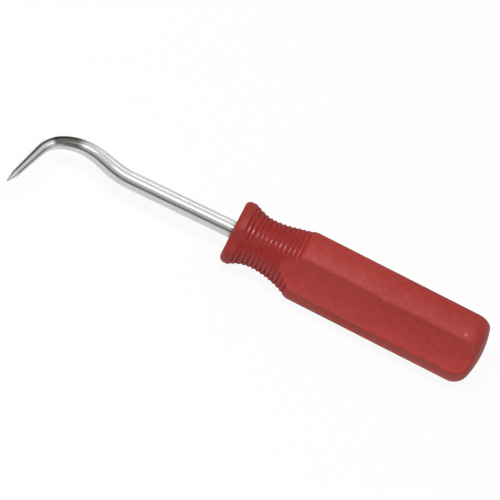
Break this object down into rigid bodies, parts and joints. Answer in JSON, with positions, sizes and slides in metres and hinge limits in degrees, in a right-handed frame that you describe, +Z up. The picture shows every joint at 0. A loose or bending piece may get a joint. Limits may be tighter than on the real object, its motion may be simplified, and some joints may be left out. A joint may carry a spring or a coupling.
{
  "type": "hooked gasket and seal pick",
  "caption": "Hand pick for fitting and pulling gaskets and seals: a bent, tapered and pointed steel rod moulded into a fluted plastic handle with a ribbed waist.",
  "frame": {"origin": "middle of the tool's box, on the surface that the tool lies on", "axes": "+X along the handle from the hook to the butt, +Y away from the side that the point faces, +Z up"},
  "size_m": [0.2152, 0.0494, 0.0304],
  "materials": {
    "handle_plastic": "satin moulded",
    "rod_steel": "fine polished"
  },
  "bodies": {
    "root": {"handle": "handle_plastic", "hook_rod": "rod_steel"}
  },
  "joints": []
}
